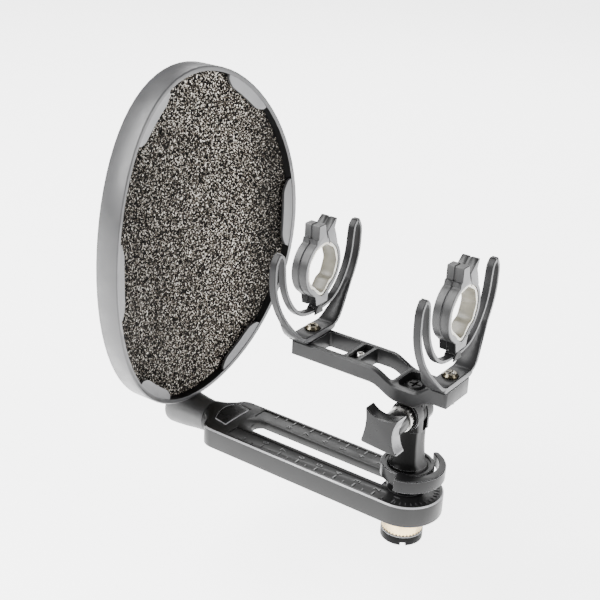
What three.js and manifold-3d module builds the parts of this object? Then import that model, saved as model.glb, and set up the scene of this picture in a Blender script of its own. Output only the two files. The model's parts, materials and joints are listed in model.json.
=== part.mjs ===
// Pop filter on a slotted arm with a shock-mount bar for a side-address microphone.
// Millimetres, +Z up. The origin is the centre of the stand thread at the bottom of the adapter.
// +X runs from the filter towards the microphone, and Y is across the arm.

import * as THREE from "three";
import { mergeVertices } from "three/addons/utils/BufferGeometryUtils.js";
import Module from "manifold-3d";

const wasm = await Module();
wasm.setup();

// ---------- driving dimensions ----------
const SEG = 40;
const GAP = 0.3;

const stand = { flangeR: 9.3, flangeTop: 4.6, boreR: 4.76, bodyR: 7.6, bodyTop: 15.5, bushR: 9, studR: 4.7 };
const arm = {
  bottom: 14.2, top: 24.3, under: 20.9, halfW: 16.4, wall: 2.7, leftX: -103, slotHalf: 4.9, slotLeft: -83,
};
const pivot = { z: 19.4, bossR: 8.1, bossX: -107.6 };
const barrel = { rightX: -108, leftX: -132.5 };
const hoop = { x: -117.65, z: 107.05, ry: 63.1, rz: 79.9, bow: 9.7, depth: 12, wall: 2.2 };
const post = { r: 8.5, neckR: 6.3, slotZ: 54.9, slotHalf: 1.75, boltZ: 62 };
const bar = { left: -56.8, right: 19.9, halfW: 10, bottom: 73.6, top: 80.7, dip: 4.7 };
const lyre = { frontX: -52, rearX: 15.6, depth: 3.2, strand: 1.8, footHalf: 4.2 };
const clip = { z: 113.3, outerR: 13, innerR: 11.2, linerR: 9.9, backX: -4.2, frontX: 3.4 };

// ---------- materials ----------
function material(color, roughness, metalness) {
  return new THREE.MeshStandardMaterial({ color, roughness, metalness });
}
const blackPlastic = material(0x17181a, 0.42, 0);
const satinPlastic = material(0x1d1f22, 0.3, 0);
const foam = material(0x2b2d30, 0.95, 0);
const steel = material(0x9c9ea0, 0.3, 1);
const darkSteel = material(0x2a2b2d, 0.35, 1);
const brass = material(0xb08a3e, 0.35, 1);
const cream = material(0xd9d2bd, 0.5, 0);
const plate = material(0x3a3c40, 0.35, 0.4);

// ---------- helpers ----------
const group = new THREE.Group();

function toSolid(geometry) {
  const bare = geometry.index ? geometry.toNonIndexed() : geometry.clone();
  bare.deleteAttribute("normal");
  bare.deleteAttribute("uv");
  const merged = mergeVertices(bare, 1e-4);
  const index = [];
  for (let i = 0; i < merged.index.count; i += 3) {
    const [a, b, c] = [merged.index.getX(i), merged.index.getX(i + 1), merged.index.getX(i + 2)];
    if (a !== b && b !== c && c !== a) {
      index.push(a, b, c);
    }
  }
  const vertices = Float32Array.from(merged.attributes.position.array);
  const make = (list) => new wasm.Manifold(new wasm.Mesh({
    numProp: 3,
    vertProperties: vertices,
    triVerts: Uint32Array.from(list),
  }));
  const solid = make(index);
  return solid.volume() > 0 ? solid : make(index.reverse());
}

function addNode(name, solid, mat) {
  const mesh = solid.getMesh();
  const geometry = new THREE.BufferGeometry();
  geometry.setAttribute("position", new THREE.BufferAttribute(Float32Array.from(mesh.vertProperties), 3));
  geometry.setIndex(new THREE.BufferAttribute(Uint32Array.from(mesh.triVerts), 1));
  geometry.computeVertexNormals();
  const node = new THREE.Mesh(geometry, mat);
  node.name = name;
  group.add(node);
}

function place(geometry, { rotate = [0, 0, 0], at = [0, 0, 0] } = {}) {
  const euler = new THREE.Euler(...rotate);
  geometry.applyMatrix4(new THREE.Matrix4().makeRotationFromEuler(euler));
  geometry.translate(...at);
  return geometry;
}

// A closed profile of [radius, height] points turned about the Z axis.
function turnZ(points, segments = SEG) {
  const closed = [...points, points[0]].map(([r, z]) => new THREE.Vector2(r, z));
  const geometry = new THREE.LatheGeometry(closed, segments);
  return toSolid(place(geometry, { rotate: [Math.PI / 2, 0, 0] }));
}

// The same profile turned about an axis along X, with height read as X.
function turnX(points, z, segments = SEG) {
  const closed = [...points, points[0]].map(([r, x]) => new THREE.Vector2(r, x));
  const geometry = new THREE.LatheGeometry(closed, segments);
  return toSolid(place(geometry, { rotate: [0, 0, -Math.PI / 2], at: [0, 0, z] }));
}

// The same profile turned about an axis along Y, with height read as Y.
function turnY(points, x, z, segments = 32) {
  const closed = [...points, points[0]].map(([r, y]) => new THREE.Vector2(r, y));
  const geometry = new THREE.LatheGeometry(closed, segments);
  return toSolid(place(geometry, { at: [x, 0, z] }));
}

function rodZ(r, z0, z1, x = 0, y = 0, segments = 32) {
  const geometry = new THREE.CylinderGeometry(r, r, z1 - z0, segments);
  return toSolid(place(geometry, { rotate: [Math.PI / 2, 0, 0], at: [x, y, (z0 + z1) / 2] }));
}

function rodX(r, x0, x1, y, z, segments = 32) {
  const geometry = new THREE.CylinderGeometry(r, r, x1 - x0, segments);
  return toSolid(place(geometry, { rotate: [0, 0, -Math.PI / 2], at: [(x0 + x1) / 2, y, z] }));
}

function rodY(r, y0, y1, x, z, segments = 32) {
  const geometry = new THREE.CylinderGeometry(r, r, y1 - y0, segments);
  return toSolid(place(geometry, { at: [x, (y0 + y1) / 2, z] }));
}

function box(x0, x1, y0, y1, z0, z1) {
  const geometry = new THREE.BoxGeometry(x1 - x0, y1 - y0, z1 - z0);
  return toSolid(place(geometry, { at: [(x0 + x1) / 2, (y0 + y1) / 2, (z0 + z1) / 2] }));
}

function shapeOf(points) {
  return new THREE.Shape(points.map(([x, y]) => new THREE.Vector2(x, y)));
}

// A flat outline in XY, raised from z0 to z1 with an optional small bevel inside those heights.
function raiseZ(shape, z0, z1, bevel = 0, curveSegments = 20) {
  const geometry = new THREE.ExtrudeGeometry(shape, {
    depth: z1 - z0 - 2 * bevel,
    bevelEnabled: bevel > 0,
    bevelThickness: bevel,
    bevelSize: bevel,
    bevelOffset: -bevel,
    bevelSegments: 1,
    curveSegments,
  });
  return toSolid(place(geometry, { at: [0, 0, z0 + bevel] }));
}

// A flat outline in YZ (shape x is Y, shape y is Z), raised from x0 to x1.
function raiseX(shape, x0, x1, bevel = 0, curveSegments = 20) {
  const geometry = new THREE.ExtrudeGeometry(shape, {
    depth: x1 - x0 - 2 * bevel,
    bevelEnabled: bevel > 0,
    bevelThickness: bevel,
    bevelSize: bevel,
    bevelOffset: -bevel,
    bevelSegments: 1,
    curveSegments,
  });
  const toYZ = new THREE.Matrix4().set(0, 0, 1, x0 + bevel, 1, 0, 0, 0, 0, 1, 0, 0, 0, 0, 0, 1);
  geometry.applyMatrix4(toYZ);
  return toSolid(geometry);
}

// A flat outline in XZ (shape x is X, shape y is Z), raised from y0 to y1.
function raiseY(shape, y0, y1, bevel = 0, curveSegments = 16) {
  const geometry = new THREE.ExtrudeGeometry(shape, {
    depth: y1 - y0 - 2 * bevel,
    bevelEnabled: bevel > 0,
    bevelThickness: bevel,
    bevelSize: bevel,
    bevelOffset: -bevel,
    bevelSegments: 1,
    curveSegments,
  });
  const toXZ = new THREE.Matrix4().set(1, 0, 0, 0, 0, 0, -1, y1 - bevel, 0, 1, 0, 0, 0, 0, 0, 1);
  geometry.applyMatrix4(toXZ);
  return toSolid(geometry);
}

function arcPoints(cx, cy, r, from, to, steps) {
  const out = [];
  for (let i = 0; i <= steps; i++) {
    const a = THREE.MathUtils.degToRad(from + ((to - from) * i) / steps);
    out.push([cx + r * Math.cos(a), cy + r * Math.sin(a)]);
  }
  return out;
}

// A slot or plate outline: straight sides at +-half, a half-round at x1, and round corners at x0.
function tongue(x0, x1, half, corner, steps = 20) {
  return [
    ...arcPoints(x1, 0, half, -90, 90, steps),
    ...arcPoints(x0 + corner, half - corner, corner, 90, 180, 6),
    ...arcPoints(x0 + corner, corner - half, corner, 180, 270, 6),
  ];
}

// A pan-head screw along Z with a cross recess: head under z1, shank down to z0.
function screwZ(x, y, headR, headZ, headH, shankR, tipZ) {
  const head = turnZ([[0, headZ], [headR, headZ], [headR, headZ + headH * 0.5],
    [headR * 0.72, headZ + headH], [0, headZ + headH]], 24);
  const shank = rodZ(shankR, tipZ, headZ + 0.1, 0, 0, 14);
  const top = headZ + headH + 1;
  const cross = box(-headR * 0.62, headR * 0.62, -0.45, 0.45, headZ + headH * 0.4, top)
    .add(box(-0.45, 0.45, -headR * 0.62, headR * 0.62, headZ + headH * 0.4, top));
  return head.add(shank).subtract(cross).translate([x, y, 0]);
}

function smooth(points, count) {
  const knots = points.map(([y, z]) => new THREE.Vector3(y, z, 0));
  const curve = new THREE.CatmullRomCurve3(knots, false, "centripetal");
  return curve.getPoints(count).map((p) => [p.x, p.y]);
}

// A strip of even width along a centre line in the YZ plane.
function strip(centre, half) {
  const left = [];
  const right = [];
  centre.forEach((p, i) => {
    const a = centre[Math.max(i - 1, 0)];
    const b = centre[Math.min(i + 1, centre.length - 1)];
    const length = Math.hypot(b[0] - a[0], b[1] - a[1]);
    const n = [(a[1] - b[1]) / length, (b[0] - a[0]) / length];
    left.push([p[0] + n[0] * half, p[1] + n[1] * half]);
    right.push([p[0] - n[0] * half, p[1] - n[1] * half]);
  });
  return shapeOf([...left, ...right.reverse()]);
}

// ---------- stand adapter, bush and stud ----------
{
  const s = stand;
  const flange = turnZ([
    [s.boreR + 0.5, 0], [s.flangeR - 0.4, 0], [s.flangeR, 0.4], [s.flangeR, s.flangeTop - 0.3],
    [s.flangeR - 0.3, s.flangeTop], [s.bodyR, s.flangeTop], [s.bodyR, s.bodyTop], [s.boreR, s.bodyTop],
    [s.boreR, 0.5],
  ]);
  const coinSlot = box(-12, 12, -1.1, 1.1, -1, 1.7).rotate([0, 0, -55]);
  addNode("thread_adapter", flange.subtract(coinSlot), blackPlastic);

  const knurl = [];
  const flutes = 36;
  for (let i = 0; i < flutes * 2; i++) {
    const a = (Math.PI * i) / flutes;
    const r = i % 2 ? s.bushR - 0.35 : s.bushR;
    knurl.push([r * Math.cos(a), r * Math.sin(a)]);
  }
  const sleeve = raiseZ(shapeOf(knurl), s.flangeTop + 0.1, 18.3);
  const stud = turnZ([[0, 17], [s.studR, 17], [s.studR, 35.3], [s.studR - 0.7, 36], [0, 36]], 32);
  const bush = sleeve.subtract(rodZ(7.94, 3, 16, 0, 0, SEG)).add(stud);
  addNode("brass_stand_bush", bush, brass);
}

// ---------- sliding plate inside the arm ----------
{
  const outline = shapeOf(tongue(-12, 0, 13, 2.5));
  addNode("slider_plate", raiseZ(outline, 18.4, 20.7).subtract(rodZ(stand.studR + 0.15, 18, 21)), darkSteel);
}

// ---------- arm ----------

// Height of the crown that blends the pivot boss into the flat top of the arm.
function crownHalf(x) {
  return THREE.MathUtils.lerp(6.4, 15.6, THREE.MathUtils.smoothstep(x, pivot.bossX, -97));
}

function crownZ(x, y) {
  const t = THREE.MathUtils.clamp((x - pivot.bossX) / 19.5, 0, 1);
  const rise = (pivot.z + pivot.bossR - arm.top) * (0.5 + 0.5 * Math.cos(Math.PI * t));
  const u = Math.min(1, Math.abs(y) / crownHalf(x));
  return arm.top + rise * (1 - u * u) ** 0.85;
}

// The badge's outline: its left edge bulges towards the boss and its right edge is straight.
function badgeSheet(grow, drop, lift) {
  const geometry = new THREE.BoxGeometry(1, 2, 1, 5, 10, 1);
  const p = geometry.attributes.position;
  const half = 9 + grow;
  for (let i = 0; i < p.count; i++) {
    const y = p.getY(i) * half;
    const left = -98.6 - grow - 2.2 * (1 - (y / half) ** 2);
    const right = -92.3 + grow;
    const x = left + (p.getX(i) + 0.5) * (right - left);
    p.setXYZ(i, x, y, crownZ(x, y) + (p.getZ(i) > 0 ? lift : -drop));
  }
  return toSolid(geometry);
}

{
  const a = arm;
  const outer = raiseZ(shapeOf(tongue(a.leftX, 0.3, a.halfW, 7, 22)), a.bottom, a.top, 0.6);
  const inner = raiseZ(shapeOf(tongue(a.leftX + 6.5, 0.3, a.halfW - a.wall, 4, 18)), a.bottom - 1, a.under);
  const slot = raiseZ(shapeOf([
    ...arcPoints(0, 0, a.slotHalf, -90, 90, 14),
    ...arcPoints(a.slotLeft + a.slotHalf, 0, a.slotHalf, 90, 270, 14),
  ]), a.under - 1, a.top + 1);
  // a shallow U-shaped band around the slot carries the scale
  const bandOut = raiseZ(shapeOf(tongue(-87.2, 0.3, 14.5, 1.5, 20)), a.top - 0.4, a.top + 1);
  const bandIn = raiseZ(shapeOf(tongue(-92, 0, 6.7, 1, 14)), a.top - 2, a.top + 2);
  const crown = new THREE.BoxGeometry(1, 2, 1, 10, 14, 1);
  const p = crown.attributes.position;
  for (let i = 0; i < p.count; i++) {
    const x = pivot.bossX + 0.2 + (p.getX(i) + 0.5) * 19.2;
    const y = p.getY(i) * crownHalf(x);
    p.setXYZ(i, x, y, p.getZ(i) > 0 ? crownZ(x, y) - 0.02 : 22.4);
  }
  const boss = turnX([[0, pivot.bossX], [pivot.bossR - 0.4, pivot.bossX], [pivot.bossR, pivot.bossX + 0.4],
    [pivot.bossR, -106.2], [7.5, -103], [6.8, -99.6], [0, -95.5]], pivot.z);
  const bore = rodX(4.2, pivot.bossX - 1, -98, 0, pivot.z, 24);
  const body = outer.add(toSolid(crown)).add(boss).subtract(inner).subtract(slot)
    .subtract(bandOut.subtract(bandIn)).subtract(badgeSheet(0.15, 0.5, 2)).subtract(bore);
  addNode("slotted_arm", body, satinPlastic);
  addNode("badge_plate", badgeSheet(0, 0.35, 0.3), plate);

  const front = pivot.bossX + 0.2;
  const sleeve = turnX([[2.6, front], [3.9, front], [3.9, -98.3], [2.6, -98.3]], pivot.z, 24);
  addNode("arm_pivot_sleeve", sleeve, darkSteel);

  const screw = turnX([[0, -125], [4.2, -125], [4.6, -124.4], [4.6, -122.2], [2.4, -122.2], [2.4, -99.4],
    [2, -99], [0, -99]], pivot.z, 24);
  addNode("pivot_screw", screw, steel);
  const washer = turnX([[2.6, -122], [5.2, -121.7], [5.2, -121.1], [2.6, -121.4]], pivot.z, 20);
  addNode("pivot_spring_washer", washer, steel);
}

// ---------- filter: barrel, hoop and foam ----------

// A point of the oval at turn angle a, inset from its edge by u and set back from its front by v.
function ovalPoint(a, u, v) {
  const y = (hoop.ry - u) * Math.cos(a);
  const z = (hoop.rz - u) * Math.sin(a);
  return [hoop.x + hoop.bow * (y / hoop.ry) ** 2 - v, y, hoop.z + z];
}

// A closed [inset, set-back] profile carried round the oval.
function ovalRing(profile, segments = 96) {
  const closed = [...profile, profile[0]].map(([u, v]) => new THREE.Vector2(200 - u, v));
  const geometry = new THREE.LatheGeometry(closed, segments);
  const p = geometry.attributes.position;
  for (let i = 0; i < p.count; i++) {
    const radius = Math.hypot(p.getX(i), p.getZ(i));
    const a = Math.atan2(p.getZ(i), p.getX(i));
    p.setXYZ(i, ...ovalPoint(a, 200 - radius, p.getY(i)));
  }
  return toSolid(geometry);
}

// A tab that reaches inward from the hoop, set just behind its front edge, with rounded corners.
function ovalTab(centreDeg) {
  const geometry = new THREE.BoxGeometry(2, 1, 1.3, 12, 3, 1);
  const p = geometry.attributes.position;
  for (let i = 0; i < p.count; i++) {
    const s = p.getX(i);
    const t = p.getY(i) + 0.5;
    const half = THREE.MathUtils.degToRad(13) * (1 - 0.06 * t ** 2 - 0.1 * t ** 6);
    const inset = 1 + t * (6.2 - 0.5 * s * s - 1.2 * s ** 8);
    const a = THREE.MathUtils.degToRad(centreDeg) + s * half;
    p.setXYZ(i, ...ovalPoint(a, inset, 1 - p.getZ(i)));
  }
  return toSolid(geometry);
}

{
  const b = barrel;
  const cut = ovalRing([[-GAP, -GAP], [hoop.wall + 2, -GAP], [hoop.wall + 2, hoop.depth + 1.2],
    [-GAP, hoop.depth + 1.2]], 76);
  const shell = turnX([[2.7, b.rightX], [7.2, b.rightX], [7.6, b.rightX - 0.4], [7.9, -113], [8.7, -119],
    [9.2, -125], [9.3, -128.4], [8.9, -130], [7.9, -130], [7.9, -129], [6, -129], [6, -121],
    [2.7, -121]], pivot.z);
  addNode("filter_barrel", shell.subtract(cut), blackPlastic);
  const cap = turnX([[0, b.leftX], [3.4, b.leftX + 0.15], [5.6, b.leftX + 0.6], [7, b.leftX + 1.3],
    [7.6, b.leftX + 2.3], [7.6, -129.2], [5.8, -129.2], [5.8, -126.2], [4.4, -126.2], [4.4, -130.2],
    [0, -130.2]], pivot.z);
  addNode("barrel_end_cap", cap.subtract(cut), blackPlastic);

  const w = hoop.wall;
  const band = ovalRing([[0.5, 0], [w, 0], [w, hoop.depth - 1.2], [w + 1.6, hoop.depth - 1.2],
    [w + 1.6, hoop.depth], [0.4, hoop.depth], [0, hoop.depth - 0.5], [0, 0.5]], 76);
  let rim = band;
  for (const angle of [0, 58, 122, 180, 238, 302]) {
    rim = rim.add(ovalTab(angle));
  }
  addNode("filter_hoop", rim, satinPlastic);

  // the foam is an oval slab with inner rings, so that it follows the bow of the hoop
  const front = 3.6;
  const back = hoop.depth - 1.5;
  const insets = [w + 0.3, 12, 26, 42];
  const profile = [...insets.map((u) => [u, front]).reverse(), ...insets.map((u) => [u, back])];
  const points = [[hoop.ry, front], ...profile, [hoop.ry, back]];
  const vectors = points.map(([u, v]) => new THREE.Vector2(hoop.ry - u, v));
  const slab = new THREE.LatheGeometry(vectors, 60);
  const p = slab.attributes.position;
  for (let i = 0; i < p.count; i++) {
    const radius = Math.hypot(p.getX(i), p.getZ(i));
    const a = Math.atan2(p.getZ(i), p.getX(i));
    const share = radius / (hoop.ry - insets[0]);
    const y = share * (hoop.ry - insets[0]) * Math.cos(a);
    const z = share * (hoop.rz - insets[0]) * Math.sin(a);
    p.setXYZ(i, hoop.x + hoop.bow * (y / hoop.ry) ** 2 - p.getY(i), y, hoop.z + z);
  }
  addNode("foam_disc", toSolid(slab), foam);
}

// ---------- cable clip ----------
{
  const ringFrom = -57;
  const ringTo = 276;
  const taper = [];
  for (let i = 0; i <= 16; i++) {
    const t = i / 16;
    const a = THREE.MathUtils.degToRad(66 + (ringFrom - 66) * t);
    const r = 14 - 2.5 * t;
    taper.push([r * Math.cos(a), r * Math.sin(a)]);
  }
  const outline = [
    ...arcPoints(0, 0, 11.6, ringFrom, ringTo, 36),
    ...arcPoints(0, 0, 16.2, -80, -79, 1),
    ...arcPoints(0, 0, 16.5, -76, 66, 20),
    ...arcPoints(0, 0, 15.9, 69, 70, 1),
    ...arcPoints(0, 0, 14.6, 71, 71.2, 1),
    ...taper,
  ];
  const hook = raiseZ(shapeOf(outline), 31.1, 37.1, 0.35);
  const bore = rodZ(8.85, 30, 38, 0, 0, SEG);
  const rebate = rodZ(10, 36.4, 38, 0, 0, SEG);
  addNode("cable_clip", hook.subtract(bore).subtract(rebate), satinPlastic);
}

// ---------- swivel post ----------
{
  const q = post;
  const collar = turnZ([[stand.studR + 0.3, 24.45], [7.9, 24.45], [8.2, 24.75], [8.2, 29], [9.9, 29.7],
    [9.9, 30.7], [9.6, 31], [stand.studR + 0.3, 31]]);
  addNode("post_collar", collar, blackPlastic);

  const socket = stand.studR + 0.25;
  const column = turnZ([[0, 36.6], [socket, 36.6], [socket, 31.05], [q.r, 31.05], [q.r, 37.4],
    [7.9, 38.1], [7.3, 39.2], [6.9, 41.5], [6.5, 46], [q.neckR, 50], [q.neckR, 58], [0, 58]], 32);
  const cheek = turnY([[0, -6.7], [6.1, -6.7], [6.6, -6.2], [6.6, 6.2], [6.1, 6.7], [0, 6.7]], 0, q.boltZ, 32);
  const web = box(-6.5, 6.5, -6.5, 6.5, 55, q.boltZ).intersect(rodZ(7.2, 50, 64, 0, 0, 32));
  const slot = box(-12, 12, -q.slotHalf, q.slotHalf, q.slotZ, 75);
  const hole = rodY(2.1, -10, 10, 0, q.boltZ, 24);
  const head = column.add(cheek).add(web).subtract(slot).subtract(hole);
  addNode("swivel_post", head, satinPlastic);

  // toothed ring that the knob's washer bears on
  const teeth = [];
  for (let i = 0; i < 36; i++) {
    const a = (Math.PI * i) / 18;
    const r = i % 2 ? 4.7 : 5.2;
    teeth.push([r * Math.cos(a), q.boltZ + r * Math.sin(a)]);
  }
  const toothed = raiseY(shapeOf(teeth), -9.2, -7, 0.2).subtract(rodY(2.5, -12, -6, 0, q.boltZ, 24));
  addNode("toothed_washer", toothed, steel);

  const hex = [];
  for (let i = 0; i < 6; i++) {
    hex.push([4.4 * Math.cos((Math.PI * i) / 3), q.boltZ + 4.4 * Math.sin((Math.PI * i) / 3)]);
  }
  const nut = raiseY(shapeOf(hex), 6.9, 10.2, 0.35).subtract(rodY(2.1, 6, 12, 0, q.boltZ, 24));
  addNode("captive_nut", nut, darkSteel);
}

// ---------- wing knob ----------

// Sides that meet at corners, joined into one loop. The corner at the end of each side is rounded
// over that side's reach.
function roundedLoop(sides, reaches) {
  const out = [];
  sides.forEach((side, i) => {
    const next = sides[(i + 1) % sides.length];
    const corner = side.at(-1);
    const along = ([x, y]) => {
      const share = reaches[i] / Math.hypot(x - corner[0], y - corner[1]);
      return [corner[0] + (x - corner[0]) * share, corner[1] + (y - corner[1]) * share];
    };
    const [a, b] = [along(side.at(-2)), along(next[1])];
    out.push(...side.slice(1, -1));
    for (const t of [0.1, 0.5, 0.9]) {
      const [p, q, r] = [(1 - t) ** 2, 2 * t * (1 - t), t * t];
      out.push([p * a[0] + q * corner[0] + r * b[0], p * a[1] + q * corner[1] + r * b[1]]);
    }
  });
  return out;
}

{
  const z = post.boltZ;
  const sides = [
    smooth([[-9.2, 70.8], [-8.6, 66.5], [-8.7, 62.2], [-9.4, 58], [-10.5, 53.9]], 6),
    smooth([[-10.5, 53.9], [-4.4, 53.4], [1.8, 53], [7.6, 53]], 5),
    smooth([[7.6, 53], [5.6, 56.2], [4.7, 60.2], [5.1, 64.8], [7.5, 70.3]], 9),
    smooth([[7.5, 70.3], [4.9, 68.7], [1.9, 67.8], [-1.8, 67.4], [-5.7, 68.2], [-9.2, 70.8]], 9),
  ];
  const wing = raiseY(shapeOf(roundedLoop(sides, [1.2, 1.4, 2, 1.5])), -23.5, -17.4, 0.4);
  const neck = turnY([[0, -18.5], [5.2, -18.5], [5.2, -12], [4.6, -10.6], [0, -10.6]], 0, z, 32);
  addNode("wing_knob", wing.add(neck).subtract(rodY(2, -16, -9, 0, z, 24)), satinPlastic);
  addNode("knob_bolt", rodY(1.85, -15.7, 11.4, 0, z, 24), steel);
  const washer = turnY([[2.1, -10.4], [5.6, -10.4], [5.6, -9.4], [2.1, -9.4]], 0, z, 32);
  addNode("knob_washer", washer, steel);
}

// ---------- mount bar ----------

// How far the bar's centre line sinks at x: lowest over the post, with an S-curve each side.
function dipAt(x) {
  const t = x < 0 ? (-x - 3.5) / 13 : (x - 4.7) / 7.8;
  return bar.dip * (1 - THREE.MathUtils.smoothstep(t, 0, 1));
}

{
  const b = bar;
  const stations = [b.left];
  for (let i = 0; i <= 10; i++) {
    stations.push(-16.5 + 1.3 * i);
  }
  for (let i = 0; i <= 6; i++) {
    stations.push(4.7 + 1.3 * i);
  }
  stations.push(b.right);
  const top = stations.map((x) => [x, b.top - dipAt(x)]);
  const under = stations.map((x) => [x, b.bottom - dipAt(x)]).reverse();
  const profile = shapeOf([...top, ...under]);
  const slab = raiseY(profile, -b.halfW, b.halfW, 0.7);
  const roundBlock = (x0, x1, h, r, floor) => raiseZ(shapeOf([
    ...arcPoints(x1 - r, h - r, r, 0, 90, 4), ...arcPoints(x0 + r, h - r, r, 90, 180, 4),
    ...arcPoints(x0 + r, r - h, r, 180, 270, 4), ...arcPoints(x1 - r, r - h, r, 270, 360, 4),
  ]), floor, 90);
  const plan = roundBlock(b.left, b.right, b.halfW, 1.5, 60);
  const cell = (x0, x1, floor, r = 1.2) => roundBlock(x0, x1, 7.4, r, floor);
  const cells = [cell(-48, -31, 60), cell(-29.6, -24.9, b.top - 2.7), cell(-23.5, -6.9, 60),
    cell(-5.5, 7.2, b.top - b.dip - 3.6, 3.4), cell(8.6, 11, b.top - 5.4, 1)];
  const lugBore = rodZ(2.3, 60, 90, 0, 0, 24);
  const screwHoles = [lyre.frontX - 0.6, -27.3, lyre.rearX].map((x) => rodZ(1.7, 60, 90, x, 0, 20));
  let body = slab.intersect(plan).subtract(lugBore);
  for (const hole of [...cells, ...screwHoles]) {
    body = body.subtract(hole);
  }
  addNode("mount_bar", body, satinPlastic);

  const z = post.boltZ;
  const floor = b.bottom - b.dip - 0.1;
  const disc = turnY([[0, -1.55], [6.3, -1.55], [6.3, 1.55], [0, 1.55]], 0, z, 32);
  const neck = box(-5.5, 5.5, -1.55, 1.55, z, floor);
  const lug = disc.add(neck).subtract(rodY(2.05, -5, 5, 0, z, 20));
  addNode("tilt_lug", lug.subtract(rodZ(1.2, floor - 4, 90, 0, 0, 12)), blackPlastic);
  addNode("lug_screw", screwZ(0, 0, 4.2, b.top - b.dip - 3.5, 2, 1.1, floor - 3.6), darkSteel);
  addNode("bar_screw", screwZ(-27.3, 0, 2.1, b.top - 2.6, 1.7, 1.2, b.bottom + 0.4), steel);
}

// ---------- lyres ----------

const outerStrand = [[9, 82.5], [13, 84], [17.3, 88.2], [21.7, 93.6], [26.1, 99.8], [29.2, 106.2],
  [30.8, 112], [31.2, 117.5], [30.8, 123], [28.6, 126.4]];
const innerStrand = [[28.3, 126.45], [26.1, 124.4], [25.3, 120], [24.7, 114.4], [23.3, 109], [20.6, 103.6],
  [16.8, 98.6], [12, 95], [6, 93.5], [0, 93.3]];

function mirrored(points) {
  return points.map(([y, z]) => [-y, z]);
}

function hexagon(x, r) {
  const out = [];
  for (let i = 0; i < 6; i++) {
    out.push([x + r * Math.cos((Math.PI * i) / 3), r * Math.sin((Math.PI * i) / 3)]);
  }
  return shapeOf(out);
}

function buildLyre(name, x, screwX) {
  const x0 = x - lyre.depth / 2;
  const x1 = x + lyre.depth / 2;
  const half = lyre.strand / 2;
  const outer = smooth(outerStrand, 18);
  const reach = lyre.footHalf / (lyre.depth / 2) - 1;
  // the strands widen along X towards the foot
  let arms = raiseX(strip(outer, half), x0, x1, 0.3).add(raiseX(strip(mirrored(outer), half), x0, x1, 0.3));
  arms = arms.warp((v) => {
    const share = 1 - THREE.MathUtils.smoothstep(v[2], 83.5, 97);
    v[0] = x + (v[0] - x) * (1 + reach * share) + (screwX - x) * share;
  });
  const seat = bar.top + 0.1;
  const sole = shapeOf([[-11.6, 81.6], [-9.9, seat], [9.9, seat], [11.6, 81.6], [12, 82.6],
    [9.4, 83.7], [-9.4, 83.7], [-12, 82.6]]);
  const foot = raiseX(sole, screwX - lyre.footHalf, screwX + lyre.footHalf, 0.3);
  arms = arms.add(foot).subtract(box(x0 - 6, x1 + 6, -20, 20, 78, seat));
  arms = arms.subtract(box(x0 - 1, x1 + 1, -28.6, 28.6, 118, 135));
  arms = arms.subtract(rodZ(1.7, 70, 95, screwX, 0, 20)).subtract(rodZ(3.7, 83, 95, screwX, 0, 24));
  addNode(`${name}_lyre_arms`, arms, satinPlastic);

  const bottom = smooth([...innerStrand, ...mirrored(innerStrand).reverse().slice(1)], 40);
  const loop = raiseX(strip(bottom, half), x0, x1, 0.3).intersect(box(x0 - 1, x1 + 1, -28.3, 28.3, 80, 135));
  addNode(`${name}_lyre_loop`, loop, satinPlastic);
  addNode(`${name}_lyre_screw`, screwZ(screwX, 0, 3.3, 83.1, 2.1, 1.45, bar.bottom - 1.8), steel);
  const nut = raiseZ(hexagon(screwX, 3.1), bar.bottom - 2.2, bar.bottom - 0.1, 0.2)
    .subtract(rodZ(1.6, 60, 90, screwX, 0, 20));
  addNode(`${name}_lyre_nut`, nut, darkSteel);
}

buildLyre("front", lyre.frontX, lyre.frontX - 0.6);
buildLyre("rear", lyre.rearX, lyre.rearX);

// ---------- microphone clips ----------

// An outline in YZ given relative to the centre of the clip's bore.
function clipShape(points) {
  return shapeOf(points.map(([y, z]) => [y, clip.z + z]));
}

const nearEar = [[-5.9, 11.3], [-5.5, 13.6], [-4.6, 13.8], [-4.6, 19.2], [-4.2, 19.6], [-0.2, 19.6],
  [0.2, 19.2], [1, 15.4], [2.4, 11.6]];
const farEar = [[2.4, 11.6], [1.1, 15.3], [7.3, 20.3], [8.5, 20], [7.2, 16.2], [8.2, 13.8], [9.9, 8.6]];
const neck = [[-7.6, -10.4], [-6.2, -11.8], [-5.2, -12.4], [-4.2, -16.8], [4.2, -16.8], [5.2, -12.4],
  [6.2, -11.8], [7.6, -10.4]];
const slit = [[1, 15.9], [1.45, 15.9], [4.5, 9.4], [4, 9.4]];

// The bore is round with a pointed lobe that dips into the neck.
function bore(radius, lobe, ripple) {
  const out = [];
  const steps = 60;
  for (let i = 0; i < steps; i++) {
    const a = (360 * i) / steps;
    const fromBottom = Math.abs(((a + 90 + 180) % 360) - 180);
    const wave = ripple * Math.cos(THREE.MathUtils.degToRad(a * 9));
    const dip = Math.exp(-((fromBottom / 15) ** 2)) - 0.35 * Math.exp(-(((fromBottom - 34) / 11) ** 2));
    const r = radius + wave + lobe * dip;
    out.push([r * Math.cos(THREE.MathUtils.degToRad(a)), r * Math.sin(THREE.MathUtils.degToRad(a))]);
  }
  return out;
}

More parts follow.
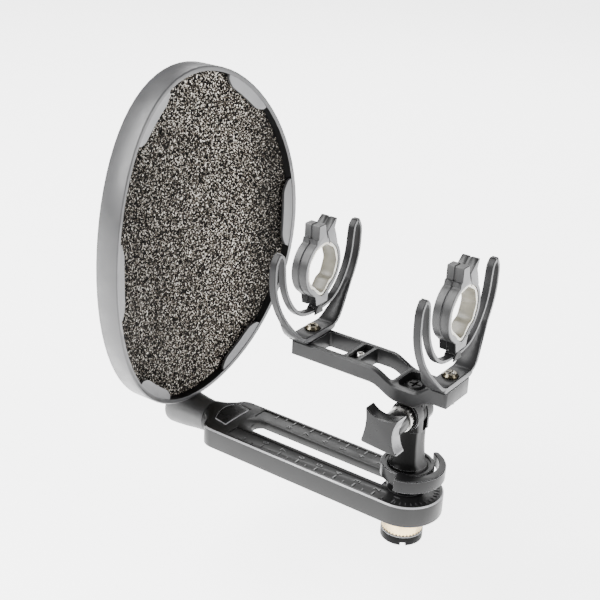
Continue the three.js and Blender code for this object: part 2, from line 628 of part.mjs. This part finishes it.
function buildClip(name, x) {
  const x0 = x + clip.backX;
  const x1 = x + clip.frontX;
  const mid = (x0 + x1) / 2;
  const disc = arcPoints(0, 0, clip.outerR, 0, 352.8, 49);
  const core = arcPoints(0, 0, clip.outerR - 0.5, 0, 352.8, 49);
  const shrink = (points, by) => points.map(([y, z]) => [y - Math.sign(y - 0.5) * by, z - Math.sign(z) * by]);
  // two outer layers and a slightly smaller middle one leave a groove round the band
  let shell = raiseX(clipShape(core), mid - 0.6, mid + 0.6);
  for (const outline of [shrink(neck, 0.4), shrink(nearEar, 0.35), shrink(farEar, 0.3)]) {
    shell = shell.add(raiseX(clipShape(outline), mid - 0.6, mid + 0.6));
  }
  for (const [a, b] of [[x0, mid - 0.3], [mid + 0.3, x1]]) {
    for (const outline of [disc, neck, nearEar, farEar]) {
      shell = shell.add(raiseX(clipShape(outline), a, b, 0.25));
    }
  }
  shell = shell.subtract(raiseX(clipShape(bore(clip.innerR, 1.9, 0)), x0 - 2, x1 + 2));
  shell = shell.subtract(raiseX(clipShape(slit), x0 - 2, x1 + 2));
  addNode(`${name}_clip_shell`, shell, satinPlastic);

  // soft wavy liner, cut by the same slit
  const liner = raiseX(clipShape(bore(clip.innerR - 0.12, 1.8, 0)), x0 + 0.3, x1 - 0.3)
    .subtract(raiseX(clipShape(bore(clip.linerR, 1.8, 0.2)), x0 - 2, x1 + 2))
    .subtract(raiseX(clipShape(slit), x0 - 2, x1 + 2));
  addNode(`${name}_clip_liner`, liner, cream);

  // peg that hangs from the neck and snaps over the bottom of the lyre's loop
  const z = 93.3;
  const top = clip.z - 16.9;
  const bowTie = shapeOf([[-3, z - 1.6], [3, z - 1.6], [2.6, z + 0.6], [1.3, z + 1.9],
    [2, top], [-2, top], [-1.3, z + 1.9], [-2.6, z + 0.6]]);
  const fork = raiseX(bowTie, x - 2.5, x + 2.5, 0.2);
  const collar = rodZ(2.6, top - 0.9, top, x, 0, 20);
  const seat = box(x - lyre.depth / 2 - 0.2, x + lyre.depth / 2 + 0.2, -12, 12, z - 3, z + 1.1);
  addNode(`${name}_clip_peg`, fork.add(collar).subtract(seat), blackPlastic);
}

buildClip("front", lyre.frontX);
buildClip("rear", lyre.rearX);

export default group;
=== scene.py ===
"""Looks for an oval foam pop filter on a slotted arm, with a bar that carries two sprung microphone clips.

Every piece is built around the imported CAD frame. Lengths are in metres, and MM turns millimetres into them.
"""

import json
import math
import random

import bmesh
import bpy
from mathutils import Matrix, Vector


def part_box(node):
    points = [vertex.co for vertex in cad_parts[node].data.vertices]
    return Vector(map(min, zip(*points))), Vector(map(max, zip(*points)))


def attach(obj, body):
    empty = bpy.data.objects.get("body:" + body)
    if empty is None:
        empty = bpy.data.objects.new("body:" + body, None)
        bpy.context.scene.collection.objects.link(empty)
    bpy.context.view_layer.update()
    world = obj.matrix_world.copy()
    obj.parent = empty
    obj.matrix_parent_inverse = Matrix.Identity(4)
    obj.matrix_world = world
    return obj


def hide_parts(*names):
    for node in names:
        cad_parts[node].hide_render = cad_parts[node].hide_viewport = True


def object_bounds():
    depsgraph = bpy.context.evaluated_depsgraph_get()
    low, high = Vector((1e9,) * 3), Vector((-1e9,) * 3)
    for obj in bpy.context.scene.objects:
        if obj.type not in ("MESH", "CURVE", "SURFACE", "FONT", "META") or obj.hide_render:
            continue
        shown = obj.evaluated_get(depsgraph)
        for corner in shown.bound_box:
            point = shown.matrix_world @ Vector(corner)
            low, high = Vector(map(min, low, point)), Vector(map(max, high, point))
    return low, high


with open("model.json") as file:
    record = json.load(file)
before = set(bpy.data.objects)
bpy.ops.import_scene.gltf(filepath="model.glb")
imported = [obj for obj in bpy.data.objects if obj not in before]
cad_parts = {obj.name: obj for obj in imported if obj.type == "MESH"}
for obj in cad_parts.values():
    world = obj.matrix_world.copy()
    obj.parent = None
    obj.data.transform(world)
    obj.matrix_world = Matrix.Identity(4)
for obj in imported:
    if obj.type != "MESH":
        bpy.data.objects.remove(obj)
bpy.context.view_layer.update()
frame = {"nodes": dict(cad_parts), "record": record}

MM = 0.001

# The hoop bows back at its sides: its middle plane, the depth of the bow, and its half width.
HOOP_X = -117.65 * MM
HOOP_BOW = 9.7 * MM
HOOP_HALF_WIDTH = 63.1 * MM

# The foam's two faces, measured from the hoop's middle plane.
FOAM_FRONT = -3.6 * MM
FOAM_BACK = -10.5 * MM

# The floor of the arm's scale band, and where the first of its long marks stands.
SCALE_FLOOR = 23.9
SCALE_START = 1.5
SCALE_PITCH = 10

# The floor lies clear of the filter, which reaches below the stand thread when it swings.
FLOOR_DROP = 48 * MM


# ---------- camera ----------
AZIMUTH = 34.54
ELEVATION = 24.04
ROLL = 2.79
LENS = 71.63
CAMERA_OFFSET = (-44.41, 102.77, 525.31)


def link_to_scene(obj):
    bpy.context.scene.collection.objects.link(obj)
    return obj


def make_camera():
    azimuth, elevation, roll = (math.radians(a) for a in (AZIMUTH, ELEVATION, ROLL))
    level_right = Vector((math.cos(azimuth), math.sin(azimuth), 0))
    back = Vector((
        math.sin(azimuth) * math.cos(elevation),
        -math.cos(azimuth) * math.cos(elevation),
        math.sin(elevation),
    ))
    level_up = back.cross(level_right)
    right = level_right * math.cos(roll) + level_up * math.sin(roll)
    up = -level_right * math.sin(roll) + level_up * math.cos(roll)
    data = bpy.data.cameras.new("camera")
    data.lens = LENS
    data.sensor_width = 36
    data.clip_start = 0.01
    camera = link_to_scene(bpy.data.objects.new("camera", data))
    turn = Matrix((right, up, back)).transposed()
    across, above, behind = (c * MM for c in CAMERA_OFFSET)
    place = right * across + up * above + back * behind
    camera.matrix_world = Matrix.Translation(place) @ turn.to_4x4()
    bpy.context.scene.camera = camera


make_camera()


# ---------- materials ----------
class Nodes:
    """Builds one material's node tree."""

    def __init__(self, name):
        self.material = bpy.data.materials.new(name)
        self.material.use_nodes = True
        self.tree = self.material.node_tree
        self.shader = self.tree.nodes["Principled BSDF"]
        self.coords = self.add("ShaderNodeTexCoord")

    def add(self, kind, **settings):
        node = self.tree.nodes.new(kind)
        for key, value in settings.items():
            setattr(node, key, value)
        return node

    def link(self, source, target):
        self.tree.links.new(source, target)

    def noise(self, scale, detail=4.0, roughness=0.55):
        node = self.add("ShaderNodeTexNoise")
        node.inputs["Scale"].default_value = scale
        node.inputs["Detail"].default_value = detail
        node.inputs["Roughness"].default_value = roughness
        self.link(self.coords.outputs["Object"], node.inputs["Vector"])
        return node.outputs["Fac"]

    def ramp(self, source, stops):
        node = self.add("ShaderNodeValToRGB")
        elements = node.color_ramp.elements
        elements[0].position, elements[0].color = stops[0]
        elements[1].position, elements[1].color = stops[-1]
        for position, color in stops[1:-1]:
            elements.new(position).color = color
        self.link(source, node.inputs["Fac"])
        return node.outputs["Color"]

    def multiply(self, first, second):
        node = self.add("ShaderNodeMix", data_type="RGBA", blend_type="MULTIPLY")
        node.inputs["Factor"].default_value = 1.0
        self.link(first, node.inputs["A"])
        self.link(second, node.inputs["B"])
        return node.outputs["Result"]

    def color(self, source):
        self.link(source, self.shader.inputs["Base Color"])

    def roughness(self, source, low, high):
        spread = self.ramp(source, [(0.3, grey(low)), (0.7, grey(high))])
        self.link(spread, self.shader.inputs["Roughness"])

    def bump(self, height, strength, distance):
        node = self.add("ShaderNodeBump")
        node.inputs["Strength"].default_value = strength
        node.inputs["Distance"].default_value = distance
        self.link(height, node.inputs["Height"])
        self.link(node.outputs["Normal"], self.shader.inputs["Normal"])


def grey(value, tint=(1.0, 1.0, 1.0)):
    return (value * tint[0], value * tint[1], value * tint[2], 1.0)


def moulded_skin(n, rough, grain, sheen):
    """Uneven gloss and a fine grain, as a moulding has."""
    n.roughness(n.noise(160.0, 5.0, 0.6), rough - 0.05, rough + 0.09)
    n.bump(n.noise(2600.0, 2.0, 0.5), grain, 0.1 * MM)
    n.shader.inputs["Specular IOR Level"].default_value = sheen


def moulded(name, dark, light, rough, grain=0.12, sheen=0.5):
    """Moulded surface whose colour drifts slowly from dark to light."""
    n = Nodes(name)
    cool = (1.0, 1.0, 1.03)
    n.color(n.ramp(n.noise(35.0, 3.0), [(0.35, grey(dark, cool)), (0.68, grey(light, cool))]))
    moulded_skin(n, rough, grain, sheen)
    return n.material


def burnished(name, direction, stops, rough, sheen):
    """Moulded surface with light and shade painted into its colour, following how far it faces one direction
    of the piece.
    """
    n = Nodes(name)
    moulded_skin(n, rough, 0.12, sheen)
    facing = n.add("ShaderNodeVectorMath", operation="DOT_PRODUCT")
    n.link(n.coords.outputs["Normal"], facing.inputs[0])
    facing.inputs[1].default_value = direction
    wander = n.add("ShaderNodeMath", operation="MULTIPLY_ADD")
    n.link(n.noise(60.0, 3.0), wander.inputs[0])
    wander.inputs[1].default_value = 0.12
    n.link(facing.outputs["Value"], wander.inputs[2])
    n.color(n.ramp(wander.outputs["Value"], [(place, grey(value)) for place, value in stops]))
    return n.material


def metal(name, color, rough):
    """Metal with fine turning marks and a little tarnish."""
    n = Nodes(name)
    dull = tuple(c * 0.6 for c in color)
    n.color(n.ramp(n.noise(90.0), [(0.35, dull + (1.0,)), (0.65, color + (1.0,))]))
    n.shader.inputs["Metallic"].default_value = 1.0
    streak = n.noise(900.0, 3.0, 0.6)
    n.roughness(streak, rough - 0.06, rough + 0.1)
    n.bump(streak, 0.1, 0.1 * MM)
    return n.material


def cream(name, dark, light):
    """Milky soft moulding that lets some light through."""
    n = Nodes(name)
    n.color(n.ramp(n.noise(120.0, 3.0), [(0.3, dark + (1.0,)), (0.7, light + (1.0,))]))
    n.shader.inputs["Roughness"].default_value = 0.4
    n.shader.inputs["Subsurface Weight"].default_value = 0.25
    n.shader.inputs["Subsurface Radius"].default_value = (0.004, 0.0035, 0.0025)
    n.bump(n.noise(700.0, 3.0), 0.1, 0.2 * MM)
    return n.material


def foam(name):
    """Open-cell foam: dark pores with painted shade, brown-grey struts, bright facets as painted glints, and
    painted shade darkest near the +y rim and darker towards -y.
    """
    n = Nodes(name)
    cells = n.add("ShaderNodeTexVoronoi", feature="F1")
    cells.inputs["Scale"].default_value = 1150.0
    n.link(n.coords.outputs["Object"], cells.inputs["Vector"])
    glint = n.noise(1230.0, 3.0, 0.7)
    # The darkest stops are the charcoal foam with shade painted in its holes; the brightest stops are painted
    # glints.
    struts = n.ramp(glint, [
        (0.51, (0.001, 0.001, 0.001, 1)),
        (0.545, (0.012, 0.009, 0.007, 1)),
        (0.58, (0.3, 0.25, 0.19, 1)),
        (0.625, (1.0, 0.97, 0.9, 1)),
    ])
    # Painted shade in the hollows of the cells.
    pores = n.ramp(cells.outputs["Distance"], [(0.1, grey(0.25)), (0.45, grey(1.0))])
    place = n.add("ShaderNodeSeparateXYZ")
    n.link(n.coords.outputs["Object"], place.inputs["Vector"])
    across = n.add("ShaderNodeMapRange")
    across.inputs["From Min"].default_value = -0.063
    across.inputs["From Max"].default_value = 0.063
    n.link(place.outputs["Y"], across.inputs["Value"])
    # Painted shadow of the hoop near the +y rim, and darker towards -y.
    shade = n.ramp(across.outputs["Result"], [
        (0.0, grey(0.4)), (0.35, grey(0.7)), (0.6, grey(1.0)), (0.76, grey(1.0)), (0.9, grey(0.3)),
    ])
    n.color(n.multiply(n.multiply(struts, pores), shade))
    n.shader.inputs["Roughness"].default_value = 0.8
    n.shader.inputs["Specular IOR Level"].default_value = 0.1
    n.bump(glint, 0.8, 0.6 * MM)
    return n.material


# The side of a piece that faces right in the main view, where black mouldings catch the bright surroundings.
# The post has a highlight painted on this side, and the arm has shade painted there.
RIGHT = (0.824, 0.567, 0.0)

hoop_mat = moulded("graphite_hoop", 0.045, 0.06, 0.38, grain=0.2, sheen=0.55)
# The paler edge and rim materials are painted highlights, laid on rounded edges.
hoop_edge_highlight = moulded("graphite_hoop_edge", 0.4, 0.5, 0.3)
tab_mat = moulded("graphite_tab", 0.13, 0.16, 0.45, grain=0.2)
satin_mat = moulded("satin_black", 0.008, 0.012, 0.3, grain=0.1, sheen=0.2)
satin_edge_highlight = moulded("satin_black_edge", 0.32, 0.48, 0.28)
# Painted highlight: the knob's right-hand side face takes this paler copy of its satin black.
knob_highlight_mat = moulded("knob_side", 0.16, 0.22, 0.3, grain=0.1)
# Painted highlight: the post's colour is paler on the side that faces right.
post_painted_highlight_mat = burnished("post_black_painted_highlight", RIGHT, [(0.0, 0.004), (0.34, 0.005), (0.5, 0.1), (1.0, 0.07)], 0.25, 0.03)
adapter_mat = moulded("adapter_black", 0.003, 0.005, 0.36, sheen=0.06)
bar_mat = moulded("bar_black", 0.01, 0.015, 0.33, sheen=0.22)
# Painted shade: the arm's colour is darker on the side that faces right.
arm_painted_shade_mat = burnished("arm_black_painted_shade", RIGHT, [(0.0, 0.011), (0.2, 0.011), (0.5, 0.004), (1.0, 0.004)], 0.34, 0.3)
arm_edge_highlight = moulded("arm_edge_highlight", 0.32, 0.46, 0.28)
black_mat = moulded("matte_black", 0.004, 0.007, 0.4, grain=0.15, sheen=0.12)
barrel_mat = moulded("barrel_black", 0.016, 0.026, 0.45, sheen=0.9)
black_edge_highlight = moulded("matte_black_edge", 0.06, 0.1, 0.35)
lyre_mat = moulded("lyre_black", 0.012, 0.02, 0.33, grain=0.06, sheen=0.16)
lyre_edge_highlight = moulded("lyre_edge_highlight", 0.16, 0.24, 0.3)
lyre_lit_face = moulded("lyre_lit_face", 0.06, 0.1, 0.35, sheen=0.3)
shell_mat = moulded("clip_black", 0.01, 0.018, 0.4, grain=0.08, sheen=0.5)
shell_edge_highlight = moulded("clip_edge", 0.4, 0.55, 0.3)
shell_lit_face = moulded("clip_lit_face", 0.09, 0.13, 0.35)
mark_mat = moulded("scale_mark", 0.06, 0.09, 0.26)
badge_mat = moulded("badge_dark", 0.01, 0.016, 0.25, sheen=0.15)
badge_rim_highlight = moulded("badge_rim_highlight", 0.5, 0.6, 0.3)
steel_mat = metal("zinc_steel", (0.62, 0.61, 0.59), 0.26)
dark_steel_mat = metal("dark_steel", (0.1, 0.1, 0.1), 0.32)
bronze_mat = metal("dark_bronze", (0.16, 0.14, 0.1), 0.24)
brass_mat = metal("brass", (0.95, 0.74, 0.4), 0.24)
brass_edge_highlight = metal("brass_edge_highlight", (0.98, 0.86, 0.6), 0.2)
# Painted light and shade: the darker cream is the liner's shaded bore, the paler one its lit faces.
cream_mat = cream("cream_elastomer", (0.1, 0.093, 0.07), (0.19, 0.178, 0.14))
cream_lit_face = cream("cream_lit_face", (0.6, 0.58, 0.5), (0.75, 0.73, 0.66))
foam_mat = foam("charcoal_foam")

SLOT_MATERIALS = {
    "black_plastic": black_mat,
    "satin_plastic": satin_mat,
    "lyre_plastic": lyre_mat,
    "steel": steel_mat,
    "dark_steel": dark_steel_mat,
    "brass": brass_mat,
    "cream_elastomer": cream_mat,
    "badge_metal": badge_mat,
    "foam": foam_mat,
}
SLOT_OF = {part["node"]: part["material_slot"] for part in frame["record"]["subparts"]}
BODIES = frame["record"]["behaviour"]["bodies"]
BODY_OF = {node: body for body, nodes in BODIES.items() for node in nodes}


def set_materials(obj, *materials):
    obj.data.materials.clear()
    for material in materials:
        obj.data.materials.append(material)


for node_name, slot_name in SLOT_OF.items():
    set_materials(frame["nodes"][node_name], SLOT_MATERIALS[slot_name])


# ---------- pieces made again from the CAD with rounded edges ----------
def new_object(name, mesh):
    return link_to_scene(bpy.data.objects.new(name, mesh))


def take_place_of(node, obj):
    """The piece replaces the node and rides the same body."""
    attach(obj, BODY_OF[node])
    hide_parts(node)


def applied(obj):
    """Applies the object's modifiers to its mesh."""
    bpy.context.view_layer.update()
    depsgraph = bpy.context.evaluated_depsgraph_get()
    mesh = bpy.data.meshes.new_from_object(obj.evaluated_get(depsgraph))
    obj.modifiers.clear()
    obj.data = mesh


def merged_copy(node):
    """The node's mesh with its coplanar triangles merged into whole faces."""
    mesh = frame["nodes"][node].data.copy()
    work = bmesh.new()
    work.from_mesh(mesh)
    bmesh.ops.remove_doubles(work, verts=work.verts, dist=1e-6)
    bmesh.ops.dissolve_limit(work, angle_limit=math.radians(0.5), verts=work.verts, edges=work.edges)
    work.to_mesh(mesh)
    work.free()
    return mesh


def refine(node, body, edge, width, angle):
    """The node with its sharp edges rounded; if an edge material is given, it is painted on the rounded edges
    as a highlight.
    """
    mesh = merged_copy(node)
    obj = new_object(node + "_look", mesh)
    set_materials(obj, body, edge or body)
    for polygon in mesh.polygons:
        polygon.material_index = 0
    bevel = obj.modifiers.new("bevel", "BEVEL")
    bevel.width = width * MM
    bevel.segments = 2
    bevel.limit_method = "ANGLE"
    bevel.angle_limit = math.radians(angle)
    bevel.use_clamp_overlap = True
    bevel.miter_outer = "MITER_ARC"
    bevel.material = 1 if edge else 0
    applied(obj)
    obj.data.shade_smooth()
    obj.data.set_sharp_from_angle(angle=math.radians(32))
    take_place_of(node, obj)


# Node, body material, edge material (a painted highlight), edge width in millimetres, and the angle above
# which an edge is rounded.
REFINED = [
    ("slotted_arm", arm_painted_shade_mat, arm_edge_highlight, 0.22, 40),
    ("badge_plate", badge_mat, badge_rim_highlight, 0.3, 40),
    ("cable_clip", satin_mat, satin_edge_highlight, 0.25, 40),
    ("swivel_post", post_painted_highlight_mat, satin_edge_highlight, 0.25, 40),
    ("post_collar", black_mat, black_edge_highlight, 0.2, 40),
    ("wing_knob", satin_mat, satin_edge_highlight, 0.45, 30),
    ("mount_bar", bar_mat, satin_edge_highlight, 0.28, 50),
    ("filter_hoop", hoop_mat, hoop_edge_highlight, 0.22, 40),
    ("filter_barrel", barrel_mat, black_edge_highlight, 0.2, 40),
    ("barrel_end_cap", barrel_mat, black_edge_highlight, 0.2, 40),
    ("thread_adapter", adapter_mat, satin_edge_highlight, 0.25, 40),
    ("brass_stand_bush", brass_mat, brass_edge_highlight, 0.12, 60),
    ("tilt_lug", black_mat, black_edge_highlight, 0.15, 40),
    # Painted shade: the lug screw is black, matching the shadowed pocket it sits in.
    ("lug_screw", black_mat, None, 0.12, 50),
    ("bar_screw", steel_mat, None, 0.1, 50),
    ("pivot_screw", steel_mat, None, 0.12, 50),
    ("captive_nut", dark_steel_mat, None, 0.15, 50),
    ("knob_bolt", steel_mat, None, 0.15, 50),
    ("toothed_washer", steel_mat, None, 0.12, 50),
    ("knob_washer", steel_mat, None, 0.12, 50),
]
SIDES = ("front", "rear")
for side in SIDES:
    REFINED += [
        (side + "_lyre_arms", lyre_mat, lyre_edge_highlight, 0.22, 50),
        (side + "_lyre_loop", lyre_mat, lyre_edge_highlight, 0.22, 50),
        (side + "_clip_shell", shell_mat, shell_edge_highlight, 0.2, 50),
        (side + "_clip_liner", cream_mat, cream_lit_face, 0.3, 50),
        (side + "_clip_peg", black_mat, satin_edge_highlight, 0.2, 50),
        # Painted highlight: the steel edge is a bright ring painted round the bronze screw head.
        (side + "_lyre_screw", bronze_mat, steel_mat, 0.22, 50),
        (side + "_lyre_nut", dark_steel_mat, None, 0.12, 50),
    ]
for row in REFINED:
    refine(*row)


# ---------- light and shade painted on some faces, and the hoop's paler tabs ---
def paint_faces(node, material, test):
    """The unbevelled faces of a refined node that pass the test take another material."""
    mesh = bpy.data.objects[node + "_look"].data
    mesh.materials.append(material)
    painted = len(mesh.materials) - 1
    for polygon in mesh.polygons:
        if polygon.material_index == 0 and test(polygon.normal, polygon.center):
            polygon.material_index = painted


def looks_along_x(normal, centre):
    return abs(normal.x) > 0.75


# Painted highlight: the arm's top chamfer takes the pale edge material.
def is_arm_chamfer(normal, centre):
    return 0.6 < normal.z < 0.8 and centre.z > 23.4 * MM and centre.x > -99 * MM


# Painted highlight: picks the knob's lit right-hand side face.
def is_knob_side(normal, centre):
    return normal.x > 0.6 and centre.x > 3 * MM and -24 * MM < centre.y < -17 * MM


def paint_clip_neck(side):
    """Painted shade: the neck under the clip's band is painted black on its near side and underneath."""
    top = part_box(side + "_clip_peg")[1].z + 5.2 * MM
    mesh = bpy.data.objects[side + "_clip_shell_look"].data
    mesh.materials.append(black_mat)
    painted = len(mesh.materials) - 1
    for polygon in mesh.polygons:
        if polygon.center.z < top and abs(polygon.normal.x) < 0.75 and polygon.normal.y < 0.5:
            polygon.material_index = painted


def paint_hoop():
    """Paler tabs, and the inner wall behind them painted black as shade."""
    obj = bpy.data.objects["filter_hoop_look"]
    set_materials(obj, hoop_mat, hoop_edge_highlight, tab_mat, black_mat)
    low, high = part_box("filter_hoop")
    mid_z = (low.z + high.z) / 2
    ry, rz = high.y, (high.z - low.z) / 2
    for polygon in obj.data.polygons:
        centre = polygon.center
        ring = math.hypot(centre.y / ry, (centre.z - mid_z) / rz)
        depth = high.x - HOOP_BOW * (1 - (centre.y / ry) ** 2) - centre.x
        outward = Vector((0, centre.y / ry ** 2, (centre.z - mid_z) / rz ** 2)).normalized()
        if polygon.normal.x > 0.6 and ring < 0.964 and depth < 1 * MM:
            polygon.material_index = 2
        # Painted shade: the recessed inner wall that faces inward takes black.
        elif polygon.normal.dot(outward) < -0.6 and depth > 1.6 * MM:
            polygon.material_index = 3


# Painted light: faces that look along x take paler lit copies of the lyre, clip and liner materials.
for side in SIDES:
    paint_faces(side + "_lyre_arms", lyre_lit_face, looks_along_x)
    paint_faces(side + "_lyre_loop", lyre_lit_face, looks_along_x)
    paint_faces(side + "_clip_shell", shell_lit_face, looks_along_x)
    paint_faces(side + "_clip_liner", cream_lit_face, looks_along_x)
    paint_clip_neck(side)
paint_hoop()
paint_faces("slotted_arm", arm_edge_highlight, is_arm_chamfer)
paint_faces("wing_knob", knob_highlight_mat, is_knob_side)


# ---------- foam ----------
def foam_vertices(count):
    """Two square grids pressed into the oval, bowed like the hoop, each with a shallow random relief."""
    low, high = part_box("foam_disc")
    rng = random.Random(7)
    ry = (high.y - low.y) / 2 - 0.1 * MM
    rz = (high.z - low.z) / 2 - 0.1 * MM
    mid_z = (high.z + low.z) / 2
    vertices = []
    for face, inward in ((HOOP_X + FOAM_FRONT, -1), (HOOP_X + FOAM_BACK, 1)):
        for i in range(count + 1):
            for j in range(count + 1):
                a = 2 * i / count - 1
                b = 2 * j / count - 1
                y = a * math.sqrt(max(0, 1 - b * b / 2))
                z = b * math.sqrt(max(0, 1 - a * a / 2))
                fade = min(1, (1 - math.hypot(y, z)) * 12)
                relief = rng.uniform(0, 1.0) * MM * fade
                jog = 0.25 * MM * fade
                bow = HOOP_BOW * (y * ry / HOOP_HALF_WIDTH) ** 2
                vertices.append((
                    face + inward * relief + bow,
                    y * ry + rng.uniform(-jog, jog),
                    mid_z + z * rz + rng.uniform(-jog, jog),
                ))
    return vertices


def foam_faces(count):
    """The quads of both grids, and a wall that joins their rims."""
    side = count + 1
    back = side * side
    faces = []
    for i in range(count):
        for j in range(count):
            a, b, c, d = i * side + j, (i + 1) * side + j, (i + 1) * side + j + 1, i * side + j + 1
            faces.append((a, b, c, d))
            faces.append((back + d, back + c, back + b, back + a))
    rim = [i * side for i in range(count)]
    rim += [count * side + j for j in range(count)]
    rim += [i * side + count for i in range(count, 0, -1)]
    rim += list(range(count, 0, -1))
    for k, a in enumerate(rim):
        b = rim[(k + 1) % len(rim)]
        faces.append((b, a, back + a, back + b))
    return faces


def foam_piece():
    """A slab that fills the CAD foam's outline, with a fine open-cell relief on both faces."""
    count = 132
    mesh = bpy.data.meshes.new("foam")
    mesh.from_pydata(foam_vertices(count), [], foam_faces(count))
    mesh.update()
    obj = new_object("foam_disc_look", mesh)
    set_materials(obj, foam_mat)
    take_place_of("foam_disc", obj)


foam_piece()


# ---------- scale on the arm ----------
TICK_BOTTOM = SCALE_FLOOR - 0.02
TICK_TOP = SCALE_FLOOR + 0.3


def tick(x0, x1, y0, y1):
    """The corners of one raised mark, in millimetres."""
    return [(x, y, z) for x in (x0, x1) for y in (y0, y1) for z in (TICK_BOTTOM, TICK_TOP)]


def turned(points, centre_x, degrees):
    cos, sin = math.cos(math.radians(degrees)), math.sin(math.radians(degrees))
    return [(centre_x + x * cos - y * sin, x * sin + y * cos, z) for x, y, z in points]


def scale_ticks():
    """Long and short marks along both strips, and fine ones round the arm's end."""
    ticks = []
    for k in range(9):
        x = SCALE_START - SCALE_PITCH * k
        ticks.append(tick(x - 0.3, x + 0.3, -14.2, -11.4))
        ticks.append(tick(x - 0.3, x + 0.3, 11.4, 14.2))
        if k < 8:
            ticks.append(tick(x - 5.2, x - 4.8, -14.2, -12.8))
            ticks.append(tick(x - 5.2, x - 4.8, 12.8, 14.2))
    for k in range(-8, 9):
        ticks.append(turned(tick(12.4, 14.3, -0.2, 0.2), 0.3, k * 10))
    block = [(0, 1, 3, 2), (4, 6, 7, 5), (0, 4, 5, 1), (2, 3, 7, 6), (0, 2, 6, 4), (1, 5, 7, 3)]
    vertices = [tuple(c * MM for c in point) for points in ticks for point in points]
    faces = [tuple(8 * t + corner for corner in quad) for t in range(len(ticks)) for quad in block]
    mesh = bpy.data.meshes.new("scale_ticks")
    mesh.from_pydata(vertices, [], faces)
    mesh.update()
    obj = new_object("scale_ticks", mesh)
    set_materials(obj, mark_mat)
    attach(obj, "arm")


def number_mesh(number):
    curve = bpy.data.curves.new("number", "FONT")
    curve.body = str(number)
    curve.size = 4.2 * MM
    curve.extrude = 0.12 * MM
    curve.align_x = "CENTER"
    curve.align_y = "CENTER"
    text = link_to_scene(bpy.data.objects.new("number", curve))
    bpy.context.view_layer.update()
    mesh = bpy.data.meshes.new_from_object(text.evaluated_get(bpy.context.evaluated_depsgraph_get()))
    bpy.data.objects.remove(text)
    return mesh


def scale_numbers():
    """Plain raised numbers beside the long marks, on both strips."""
    for k in range(8):
        for strip, y in (("near", -9.2), ("far", 9.2)):
            obj = new_object(f"number_{k + 1}_{strip}", number_mesh(k + 1))
            obj.location = ((SCALE_START - SCALE_PITCH * k) * MM, y * MM, (SCALE_FLOOR + 0.12) * MM)
            obj.rotation_euler = (0, 0, math.radians(90))
            set_materials(obj, mark_mat)
            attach(obj, "arm")


scale_ticks()
scale_numbers()


# ---------- floor and light ----------
def make_floor():
    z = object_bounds()[0].z - FLOOR_DROP
    size = 4.0
    data = bpy.data.meshes.new("floor")
    corners = [(-size, -size, z), (size, -size, z), (size, size, z), (-size, size, z)]
    data.from_pydata(corners, [], [(0, 1, 2, 3)])
    floor = new_object("floor", data)
    n = Nodes("floor")
    n.shader.inputs["Base Color"].default_value = (0.97, 0.97, 0.97, 1)
    n.shader.inputs["Roughness"].default_value = 0.9
    n.shader.inputs["Emission Color"].default_value = (1, 1, 1, 1)
    n.shader.inputs["Emission Strength"].default_value = 3.6
    set_materials(floor, n.material)


def area_light(name, place, size, power):
    """A soft rectangular light that points at the middle of the object."""
    target = Vector((-0.05, 0, 0.08))
    data = bpy.data.lights.new(name, "AREA")
    data.shape = "RECTANGLE"
    data.size, data.size_y = size
    data.energy = power
    light = link_to_scene(bpy.data.objects.new(name, data))
    light.location = place
    light.rotation_euler = (target - Vector(place)).to_track_quat("-Z", "Y").to_euler()


def make_world():
    world = bpy.data.worlds.new("world")
    bpy.context.scene.world = world
    world.use_nodes = True
    background = world.node_tree.nodes["Background"]
    background.inputs["Color"].default_value = (1, 1, 1, 1)
    background.inputs["Strength"].default_value = 0.25


make_floor()
area_light("key", (-0.75, -0.9, 0.95), (0.7, 0.9), 34)
area_light("top", (-0.65, -0.3, 1.15), (0.45, 0.5), 12)
area_light("side", (1.1, 0.1, 0.6), (0.6, 0.9), 14)
area_light("back", (-0.5, 1.0, 0.8), (0.9, 0.7), 9)
make_world()
